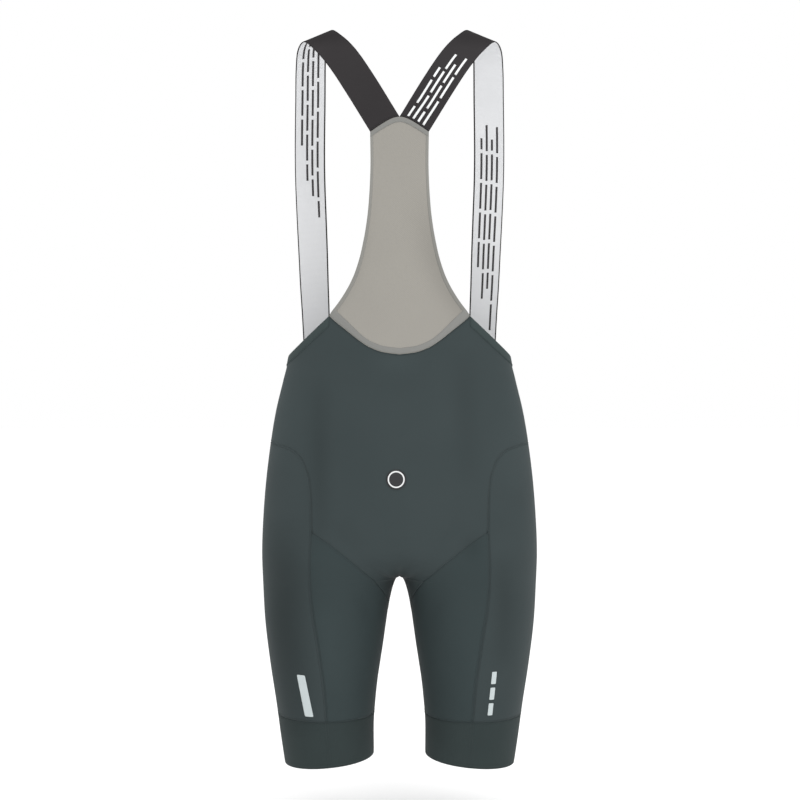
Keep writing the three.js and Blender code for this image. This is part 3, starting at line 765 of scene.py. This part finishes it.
meshSide = clothMaterial("meshSide", {
    "dark": linear(133, 132, 128), "light": linear(141, 140, 135), "cloudScale": 12, "roughness": 0.85,
    "specular": 0.06, "sheen": 0.02, "ribs": "Z", "ribScale": 300, "bump": 0.3,
})
strapDark = clothMaterial("strapDark", {
    "dark": linear(49, 47, 48), "light": linear(55, 53, 54), "cloudScale": 20, "roughness": 0.9,
    "specular": 0.02, "sheen": 0.0, "ribs": "Y", "ribScale": 200, "bump": 0.4, "onUv": True,
})
strapWhite = clothMaterial("strapWhite", {
    "dark": linear(214, 215, 217), "light": linear(223, 224, 226), "cloudScale": 20, "roughness": 0.8,
    "specular": 0.1, "sheen": 0.02, "ribs": "Y", "ribScale": 200, "bump": 0.4, "onUv": True,
})
stripeDark = plainMaterial("stripeDark", linear(58, 56, 58), 0.75)
stripeWhite = plainMaterial("stripeWhite", linear(224, 226, 226), 0.75)
threadTone = plainMaterial("threadTone", linear(50, 58, 59), 0.7)
badgeBlack = plainMaterial("badgeBlack", linear(42, 42, 44), 0.4)
badgeRing = plainMaterial("badgeRing", linear(225, 226, 226), 0.4)
reflectiveFilm = plainMaterial("reflectiveFilm", linear(184, 193, 194), 0.35)

# Body panels. Walls in millimetres are a little thinner than the real cloth with its seams.
clothWall, meshWall, hemWall, strapWall = 1.0, 0.7, 0.8, 1.2


def bodySheet(shares, topZ, centreShare):
    return bothHalves(bodyNode(*bodyPanelGrid(shares, topZ, centreShare)))


def sideCopies(grids):
    nodes = [bodyNode(share, z) for share, z in grids]
    return (("left", makeSheet(nodes)), ("right", makeSheet([mirrored(node) for node in nodes])))


backPanel = closeSheet("back_panel_cloth", bodySheet(backShares, backTopZ, 1), clothWall, [bodyKnit])
setUp(backPanel, ["back_panel"])
frontPanel = closeSheet("front_panel_cloth", bodySheet(frontShares, frontTopZ, 0), clothWall, [bodyKnit])
setUp(frontPanel, ["front_panel"])
panels = [
    {"node": "side_panel", "grids": [sidePanelGrid()], "material": sideKnit,
     "slot": "side_knit", "drop": 0.2},
    {"node": "thigh_panel", "grids": [thighPanelGrid(True), thighPanelGrid(False)], "material": thighKnit,
     "slot": "body_knit", "drop": 0.2},
    {"node": "leg_band", "grids": [legBandGrid()], "material": bandKnit, "slot": "leg_band", "drop": 0.1},
]
for panel in panels:
    for side, sheet in sideCopies(panel["grids"]):
        name = f"{panel['node']}_{side}"
        piece = closeSheet(f"{name}_cloth", sheet, clothWall, [panel["material"]], edgeDrop=panel["drop"])
        setUp(piece, [name])
print("body panels made")

# Mesh back panel
meshRise, meshColumn = np.meshgrid(
    np.linspace(0, 1, gridCounts["meshDown"]), np.linspace(0, 1, gridCounts["meshAcross"]), indexing="ij",
)
meshSheet = bothHalves(meshNodes(meshRise, meshColumn))
meshPanel = closeSheet("mesh_panel_cloth", meshSheet, meshWall, [meshCloth], creased=False, paintedShadingOf=meshPaintedShade)
setUp(meshPanel, ["mesh_panel"])
print("mesh panel made")

# Folded hems along the top of the back's slopes and of the front, stitched above their lower edge
peakColumn = len(slopeShares)
hemFold = {"edge": 0.3, "rows": 6, "lift": 0.75, "edgeDrop": 0.3}
hems = [
    {"name": "back_hem", "shares": backShares[:peakColumn + 1], "topZ": backTopZ[:peakColumn + 1],
     "depth": 12.5},
    {"name": "front_hem", "shares": frontShares, "topZ": frontTopZ, "depth": 9.0},
]
for hem in hems:
    drop = np.linspace(hemFold["edge"], hem["depth"], hemFold["rows"])[:, None]
    shares = np.broadcast_to(hem["shares"], (hemFold["rows"], len(hem["shares"])))
    sheet = bothHalves(bodyNode(shares, hem["topZ"] - drop))
    piece = closeSheet(hem["name"], sheet, hemWall, [hemKnit], hemFold["lift"], edgeDrop=hemFold["edgeDrop"])
    setUp(piece)
print("hems made")

# The mesh panel's doubled edges: along its top, the scoop and the sides. From the scoop to its top
# the mesh is longer on the centre line than at the sides.
meshLength = {"side": 222, "centre": 288, "mean": 260}
topBinding = {"name": "mesh_binding_top", "width": 6.5, "edge": 0.4, "rows": 5, "cols": 32}
scoopBinding = {"name": "mesh_binding_scoop", "width": (10.5, 6.8), "narrowing": 1.6, "edge": 0.4,
                "rows": 5, "cols": 50}
sideBinding = {"width": 5.0, "from": 0.03, "to": 0.978, "rows": 90, "cols": 4}
endFold = {"wall": 0.5, "lift": 0.55, "gap": 0, "edgeDrop": 0.2, "creased": False}
sideFold = {"wall": 0.4, "lift": 0.3, "gap": 0, "edgeDrop": 0.2, "creased": False, "paintedShadingOf": meshPaintedShade}


def topRise(column):
    width = topBinding["width"] / lerp(meshLength["side"], meshLength["centre"], column)
    return 1 - width, 1 - topBinding["edge"] / meshLength["mean"]


def scoopRise(column):
    width = lerp(*scoopBinding["width"], smooth(column * scoopBinding["narrowing"]))
    return scoopBinding["edge"] / meshLength["mean"], width / meshLength["mean"]


for binding, riseOf in ((topBinding, topRise), (scoopBinding, scoopRise)):
    even = [np.linspace(0, 1, binding[count]) for count in ("rows", "cols")]
    rise, column = np.meshgrid(*even, indexing="ij")
    sheet = bothHalves(meshNodes(lerp(*riseOf(column), rise), column))
    piece = closeSheet(binding["name"], sheet, materials=[meshEdge], **endFold)
    setUp(piece)
sideRise, sideColumn = np.meshgrid(
    np.linspace(sideBinding["from"], sideBinding["to"], sideBinding["rows"]),
    np.linspace(0, 1, sideBinding["cols"]), indexing="ij",
)
sideWidth = sideBinding["width"] / tableAt(meshSides, lerp(peak[1], meshTop[1], sideRise))
sideBand = meshNodes(sideRise, 1 - (1 - sideWidth * sideColumn) ** (1 / columnPower))
for side, node in (("left", sideBand), ("right", mirrored(sideBand))):
    piece = closeSheet(f"mesh_binding_{side}", makeSheet([node]), materials=[meshSide], **sideFold)
    setUp(piece)
print("mesh edges made")

# Straps: near black outside, with painted shade darkest over the shoulder, and white inside with dark
# selvedges
selvedge = {"outer": 1.2, "inner": 1.9}
# painted shade on the straps' outside, darkest about the top of the shoulder
strapCrestShade = {"z": -1.0, "reach": 17.0, "darker": 0.27}
strapCounts = {"along": 220, "across": 15}
whitePart = (selvedge["outer"] / strapWidth, 1 - selvedge["inner"] / strapWidth)
strapParts = np.concatenate([[0], np.linspace(*whitePart, strapCounts["across"]), [1]])
strapT, strapPart = np.meshgrid(np.linspace(0, 1, strapCounts["along"]), strapParts, indexing="ij")
strapGrid = strapNode(strapT, strapPart)


def crestPaintedShade(points):
    return 1 - strapCrestShade["darker"] * np.exp(-((points[:, 2] - strapCrestShade["z"]) / strapCrestShade["reach"]) ** 2)


strapSheet = {"wall": strapWall, "edgeDrop": 0.1, "creased": False, "paintedShadingOf": crestPaintedShade}
strapFaces = [strapDark, strapWhite, strapDark]
for side, grid in (("left", strapGrid), ("right", mirrored(strapGrid))):
    strap = closeSheet(f"strap_{side}_cloth", makeSheet([grid]), materials=strapFaces, **strapSheet)
    inside = [face for face in strap.data.polygons if face.material_index == 1]
    cols = len(strapParts) - 1
    for k, face in enumerate(inside):
        if k % cols in (0, cols - 1):
            face.material_index = 0  # a dark selvedge
    setUp(strap, [f"strap_{side}"])
print("straps made")

# The straps' broken stripe: four columns of dashes, set like bricks, woven through to both faces.
# Zones run along the strap from the mesh, in millimetres, one value for each column.
stripe = {
    "dash": 34.0, "gap": 5.0, "width": 2.7, "columns": (0.235, 0.405, 0.575, 0.75), "least": 6,
    "proud": 0.12, "wall": 0.2, "edgeDrop": 0.03, "rows": 12, "cols": 3, "samples": 600,
}
zones = [
    {"side": "left", "from": (205, 205, 205, 214), "to": (357, 402, 422, 450)},
    {"side": "right", "from": (3, 3, 3, 3), "to": (126, 104, 112, 78)},
    {"side": "right", "from": (332, 348, 329, 346), "to": (600, 545, 564, 516)},
]
middleT = np.linspace(0, 1, stripe["samples"])
middleLine = strapNode(middleT, 0.5)[0]
middleLength = np.concatenate([[0], np.cumsum(np.linalg.norm(np.diff(middleLine, axis=0), axis=1))])


def dashGrid(start, end, part, inner):
    t = np.interp(np.linspace(start, end, stripe["rows"]), middleLength, middleT)
    half = stripe["width"] / strapWidth / 2
    parts = np.linspace(part - half, part + half, stripe["cols"])
    point, normal = strapNode(*np.meshgrid(t, parts, indexing="ij"))
    if inner:
        return point - normal * (strapWall + stripe["proud"]), -normal
    return point + normal * stripe["proud"], normal


period = stripe["dash"] + stripe["gap"]
for number, zone in enumerate(zones):
    for face, colour in (("outer", stripeWhite), ("inner", stripeDark)):
        dashes = []
        for k, part in enumerate(stripe["columns"]):
            first, last = zone["from"][k], zone["to"][k]
            start = first - (k % 2) * period / 2
            while start < last:
                low, high = max(start, first), min(start + stripe["dash"], last)
                if high - low > stripe["least"]:
                    grid = dashGrid(low, high, part, face == "inner")
                    dashes.append(grid if zone["side"] == "left" else mirrored(grid))
                start += period
        name = f"stripe_{zone['side']}_{number}_{face}"
        piece = closeSheet(name, makeSheet(dashes), stripe["wall"], [colour], gap=0,
                           edgeDrop=stripe["edgeDrop"], creased=False)
        setUp(piece)
print("stripes made")


# Reflective film on the legs, following the cloth
filmSheet = {"wall": 0.6, "lift": 0.5, "gap": 0, "edgeDrop": 0.08}
filmCounts = {"along": 44, "across": 9}


def filmGrid(line, halfWidth, corner):
    # a bar with round corners, its rows closer together at its ends
    (ax, az), (bx, bz) = line
    length = math.hypot(bx - ax, bz - az)
    rows = (1 - np.cos(np.linspace(0, math.pi, filmCounts["along"]))) / 2
    along, across = np.meshgrid(rows, np.linspace(-1, 1, filmCounts["across"]), indexing="ij")
    fromEnd = np.minimum(np.minimum(along, 1 - along) * length / corner, 1)
    width = halfWidth - corner * (1 - np.sqrt(1 - (1 - fromEnd) ** 2))
    x, z = lerp(ax, bx, along) + across * width, lerp(az, bz, along)
    return bodyNode(shareAt(x, z), z)


films = [
    {"name": "film_left", "side": "left", "line": ((121.5, -797), (110.5, -848)), "halfWidth": 5.4,
     "corner": 1.6},
    {"name": "film_right_1", "side": "right", "line": ((115.8, -792), (114.3, -807)), "halfWidth": 2.9,
     "corner": 0.8},
    {"name": "film_right_2", "side": "right", "line": ((113.8, -811.5), (112.3, -826.5)), "halfWidth": 2.9,
     "corner": 0.8},
    {"name": "film_right_3", "side": "right", "line": ((111.8, -831), (110.3, -846)), "halfWidth": 2.9,
     "corner": 0.8},
]
for film in films:
    node = filmGrid(film["line"], film["halfWidth"], film["corner"])
    if film["side"] == "right":
        node = mirrored(node)
    piece = closeSheet(film["name"], makeSheet([node]), materials=[reflectiveFilm], **filmSheet)
    setUp(piece)
print("reflective film made")

# A plain round badge with a light ring, just off the centre line
badge = {
    "x": -4.0, "z": -557.0, "radius": 12.0, "ring": (8.6, 10.2), "discRows": 5, "ringRows": 3, "turns": 49,
}
badgeDisc = {"wall": 0.6, "lift": 0.9, "gap": 0, "edgeDrop": 0.2, "creased": False}
badgeCircle = {"wall": 0.4, "lift": 1.1, "gap": 0, "edgeDrop": 0.05, "creased": False}


def discGrid(low, high, rings):
    turns = np.linspace(0, 2 * math.pi, badge["turns"])
    radius, turn = np.meshgrid(np.linspace(low, high, rings), turns, indexing="ij")
    x, z = badge["x"] + radius * np.cos(turn), badge["z"] + radius * np.sin(turn)
    node = bodyNode(shareAt(np.abs(x), z), z)
    flip = np.stack([np.where(x > 0, -1, 1), np.ones_like(x), np.ones_like(x)], -1)
    return node[0] * flip, node[1] * flip


disc = makeSheet([discGrid(0, badge["radius"], badge["discRows"])])
discPiece = closeSheet("back_badge_disc", disc, materials=[badgeBlack], **badgeDisc)
setUp(discPiece, ["back_badge"])
ring = makeSheet([discGrid(*badge["ring"], badge["ringRows"])])
ringPiece = closeSheet("back_badge_ring", ring, materials=[badgeRing], **badgeCircle)
setUp(ringPiece)
print("badge made")

# Flat seams: two rows of small stitches along each seam, by Geometry Nodes
stitch = {
    "pitch": 2.6, "length": 1.9, "radius": 0.24, "rowGap": 3.2, "proud": 0.05, "segments": 6, "rings": 4,
    "smallest": 0.9, "largest": 1.1, "seed": 7,
}
stitchInputs = {"Geometry": "Geometry", "Length": "Float", "Radius": "Float", "Thread": "Material"}


def stitchTree():
    # a small long ball on each point, turned along its seam
    tree = bpy.data.node_groups.new("stitchRows", "GeometryNodeTree")
    sockets = {}
    for label, kind in stitchInputs.items():
        socket = tree.interface.new_socket(name=label, in_out="INPUT", socket_type=f"NodeSocket{kind}")
        sockets[label] = socket.identifier
    tree.interface.new_socket(name="Geometry", in_out="OUTPUT", socket_type="NodeSocketGeometry")
    nodes, links = tree.nodes, tree.links
    given, result = nodes.new("NodeGroupInput"), nodes.new("NodeGroupOutput")
    spots = nodes.new("GeometryNodeMeshToPoints")
    ball = nodes.new("GeometryNodeMeshUVSphere")
    setInputs(ball, {"Segments": stitch["segments"], "Rings": stitch["rings"], "Radius": 1.0})
    size = nodes.new("ShaderNodeCombineXYZ")
    stretched = nodes.new("GeometryNodeTransform")
    along = nodes.new("GeometryNodeInputNamedAttribute")
    along.data_type = "FLOAT_VECTOR"
    setInputs(along, {"Name": "along"})
    turn = nodes.new("FunctionNodeAlignRotationToVector")
    turn.axis = "Z"
    wobble = nodes.new("FunctionNodeRandomValue")
    wobble.data_type = "FLOAT"
    least, most = 2, 3  # the sockets of the float's range
    setInputs(wobble, {least: stitch["smallest"], most: stitch["largest"], "Seed": stitch["seed"]})
    place = nodes.new("GeometryNodeInstanceOnPoints")
    real = nodes.new("GeometryNodeRealizeInstances")
    paint = nodes.new("GeometryNodeSetMaterial")
    joinNodes(links, [
        (given, "Geometry", spots, "Mesh"),
        (given, "Radius", size, "X"),
        (given, "Radius", size, "Y"),
        (given, "Length", size, "Z"),
        (ball, "Mesh", stretched, "Geometry"),
        (size, "Vector", stretched, "Scale"),
        (spots, "Points", place, "Points"),
        (stretched, "Geometry", place, "Instance"),
        (along, "Attribute", turn, "Vector"),
        (turn, "Rotation", place, "Rotation"),
        (wobble, 1, place, "Scale"),
        (place, "Instances", real, "Geometry"),
        (real, "Geometry", paint, "Geometry"),
        (given, "Thread", paint, "Material"),
        (paint, "Geometry", result, "Geometry"),
    ])
    return tree, sockets


seamTree, seamSockets = stitchTree()
twoRows = (-stitch["rowGap"] / 2, stitch["rowGap"] / 2)
oneRow = (0.0,)


def stitchRow(node, offsets):
    # equal steps along a line of nodes, moved sideways in the cloth
    line, normals = node
    line = line + normals * creaseHeight(line, normals)[:, None]
    length = np.concatenate([[0], np.cumsum(np.linalg.norm(np.diff(line, axis=0), axis=1))])
    count = max(int(length[-1] / stitch["pitch"]), 2)
    at = (np.arange(count) + 0.5) * length[-1] / count
    points = np.stack([np.interp(at, length, line[:, k]) for k in range(3)], -1)
    outward = unit(np.stack([np.interp(at, length, normals[:, k]) for k in range(3)], -1))
    along = unit(np.gradient(points, axis=0))
    sideways = unit(np.cross(outward, along))
    rows = [points + sideways * offset + outward * stitch["proud"] for offset in offsets]
    return np.vstack(rows), np.vstack([along] * len(rows))


def addStitches(name, nodes, thread, offsets=twoRows):
    rows = [stitchRow(node, offsets) for node in nodes]
    points, along = np.vstack([row[0] for row in rows]), np.vstack([row[1] for row in rows])
    source = addObject(f"{name}_points", points, [], [])
    vectors = source.data.attributes.new("along", "FLOAT_VECTOR", "POINT")
    vectors.data.foreach_set("vector", along.ravel())
    modifier = source.modifiers.new("stitchRows", "NODES")
    modifier.node_group = seamTree
    modifier[seamSockets["Length"]] = stitch["length"] / 2 * mm
    modifier[seamSockets["Radius"]] = stitch["radius"] * mm
    modifier[seamSockets["Thread"]] = thread
    bpy.context.view_layer.update()
    evaluated = source.evaluated_get(bpy.context.evaluated_depsgraph_get())
    mesh = bpy.data.meshes.new_from_object(evaluated)
    bpy.data.objects.remove(source)
    mesh.polygons.foreach_set("use_smooth", [True] * len(mesh.polygons))
    return setUp(addToScene(name, mesh))


def bothSides(nodes):
    return list(nodes) + [mirrored(node) for node in nodes]


# How many points a seam's line has, and the millimetres that it leaves free at one end
lineCounts = {"long": 160, "short": 40, "arc": 80, "round": 260}
freeEnds = {"hip": 2, "inseam": 1, "hem": 2}


def levelLine(shareOf, top, bottom, onBack, count=lineCounts["long"]):
    z = np.linspace(top, bottom, count)
    share = shareOf(z)
    return bodyNode(share if onBack else 1 - share, z)


def evenShare(share):
    return lambda z: np.full(z.shape, share)


arcSteps = np.linspace(0, lastCorner, lineCounts["arc"])
arcShare, arcZ = tableAt(cornerPath, arcSteps, 1), tableAt(cornerPath, arcSteps, 2)
sideTop = [bodyNode(arcShare, arcZ), bodyNode(1 - arcShare, arcZ)]
sideLow = [levelLine(sideSeamShare, cornerRows[-1][0], bandTopZ, onBack) for onBack in (True, False)]
fork = [levelLine(thighSeamShare, forkTipZ, crotchZ - gussetDrop, onBack) for onBack in (True, False)]
hip = [levelLine(evenShare(0.5), waistCorner[1] - freeEnds["hip"], cornerRows[0][0], True)]
inseamTop, inseamEnd = crotchZ - freeEnds["inseam"], crotchZ - gussetDrop
inseam = [levelLine(evenShare(1.0), inseamTop, inseamEnd, True, lineCounts["short"])]
bandTop = [bodyNode(np.linspace(0, 1, lineCounts["round"]), bandTopZ)]
bandSeamShare = evenShare(float(sideSeamShare(bandTopZ)))
bandSeam = [levelLine(bandSeamShare, bandTopZ, hemZ + freeEnds["hem"], True, lineCounts["short"])]
scoop = [bodyNode(backShares[peakColumn:], backTopZ[peakColumn:])]
seatParts = np.linspace(0, 1, lineCounts["short"])
seams = [
    {"name": "seam_side_top", "lines": sideTop, "thread": threadTone, "slot": "side_knit"},
    {"name": "seam_side", "lines": sideLow, "thread": threadTone, "slot": "side_knit"},
    {"name": "seam_fork", "lines": fork, "thread": threadTone, "slot": "body_knit"},
    {"name": "seam_hip", "lines": hip, "thread": threadTone, "slot": "body_knit"},
    {"name": "seam_inseam", "lines": inseam, "thread": threadTone, "slot": "body_knit"},
    {"name": "seam_band_top", "lines": bandTop, "thread": threadTone, "slot": "leg_band"},
    {"name": "seam_band", "lines": bandSeam, "thread": threadTone, "slot": "leg_band"},
    {"name": "seam_scoop", "lines": scoop, "thread": threadTone, "slot": "body_knit"},
    {"name": "seam_strap_back", "lines": [meshEndAt(seatParts)], "thread": stripeDark,
     "slot": "strap_elastic"},
    {"name": "seam_strap_front", "lines": [frontEndAt(seatParts)], "thread": stripeDark,
     "slot": "strap_elastic"},
]
for seam in seams:
    addStitches(seam["name"], bothSides(seam["lines"]), seam["thread"])

# The hems' one row, measured down from their top edges
hemSeam = {"backDrop": 10.8, "frontDrop": 7.6, "lift": 0.8}
hemLines = []
for shares, z in ((slopeShares, backTopZ[:peakColumn] - hemSeam["backDrop"]),
                  (frontShares, frontTopZ - hemSeam["frontDrop"])):
    line, normals = bodyNode(shares, z)
    hemLines.append((line + normals * hemSeam["lift"], normals))
addStitches("seam_hem", bothSides(hemLines), threadTone, oneRow)
print("stitches made")

# Studio: a pale floor, white surroundings, a soft lamp above and one to the right, in metres
white = (1, 1, 1, 1)
studioFloor = {"half": 30.0, "z": -0.99, "colour": (0.85, 0.85, 0.85, 1), "roughness": 0.9, "glow": 0.18}
floorMaterial, floorNodes, _ = newMaterial("studioFloor")
setInputs(floorNodes["Principled BSDF"], {
    "Base Color": studioFloor["colour"], "Roughness": studioFloor["roughness"],
    "Emission Color": white, "Emission Strength": studioFloor["glow"],
})
half = studioFloor["half"]
floorCorners = [(x * half, y * half, studioFloor["z"]) for x, y in ((-1, -1), (1, -1), (1, 1), (-1, 1))]
floorMesh = bpy.data.meshes.new("floor")
floorMesh.from_pydata(floorCorners, [], [(0, 1, 2, 3)])
floorMesh.materials.append(floorMaterial)
addToScene("floor", floorMesh)

world = bpy.data.worlds.new("studio")
bpy.context.scene.world = world
world.use_nodes = True
setInputs(world.node_tree.nodes["Background"], {"Color": white, "Strength": 1.0})

lamps = [
    {"name": "topLamp", "at": (0.0, -0.4, 2.6), "size": 2.0, "power": 37},
    {"name": "rightLamp", "at": (1.3, -2.0, 0.5), "size": 1.5, "power": 12.4},
]
lampAim = Vector((0, 0, -0.4))
for lamp in lamps:
    data = bpy.data.lights.new(lamp["name"], "AREA")
    data.size = lamp["size"]
    data.energy = lamp["power"]
    light = addToScene(lamp["name"], data)
    light.location = lamp["at"]
    light.rotation_euler = (lampAim - light.location).to_track_quat("-Z", "Y").to_euler()

view = {"at": (0.0006, -2.2, -0.461), "turn": (math.pi / 2, 0, 0), "sensor": 36, "lens": 77.95}
cameraData = bpy.data.cameras.new("camera")
cameraData.sensor_width = view["sensor"]
cameraData.lens = view["lens"]
camera = addToScene("camera", cameraData)
camera.location = view["at"]
camera.rotation_euler = view["turn"]
bpy.context.scene.camera = camera
bpy.context.scene.view_settings.view_transform = "Standard"

print("scene done")
